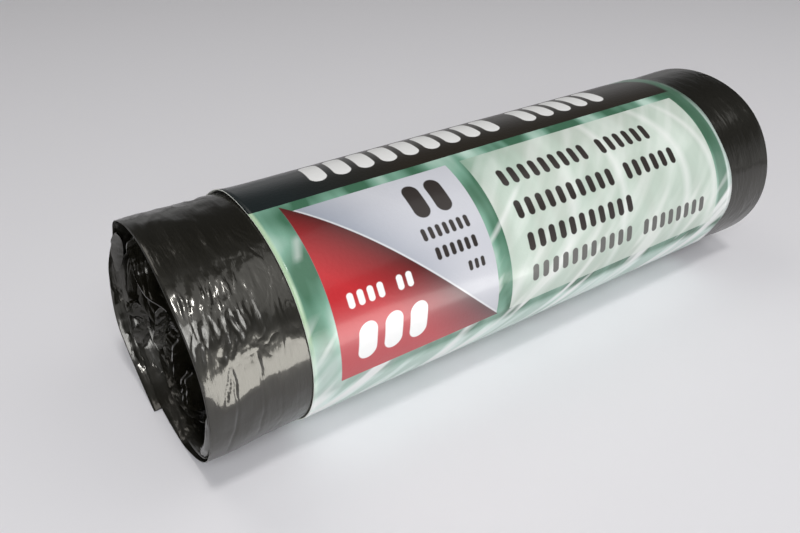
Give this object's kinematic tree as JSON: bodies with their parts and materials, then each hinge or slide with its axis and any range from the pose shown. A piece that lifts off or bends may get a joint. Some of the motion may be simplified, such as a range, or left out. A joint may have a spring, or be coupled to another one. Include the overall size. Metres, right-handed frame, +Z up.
{
  "type": "bin bag roll",
  "caption": "Coreless roll of black film bin bags lying on its side, wound in a spiral and held by a printed paper band.",
  "frame": {"origin": "middle of the roll's length, on the surface that it lies on", "axes": "+X along the roll from its crumpled near end to its far end, -Y towards the viewer's side, +Z up"},
  "size_m": [0.1695, 0.0569, 0.0498],
  "materials": {
    "black_film": "thin black polyethylene film, glossy and creased",
    "printed_paper": "glossy printed paper, green ground with a dark stripe and two panels"
  },
  "bodies": {
    "root": {"bag_roll": "black_film", "label_band": "printed_paper"}
  },
  "joints": []
}
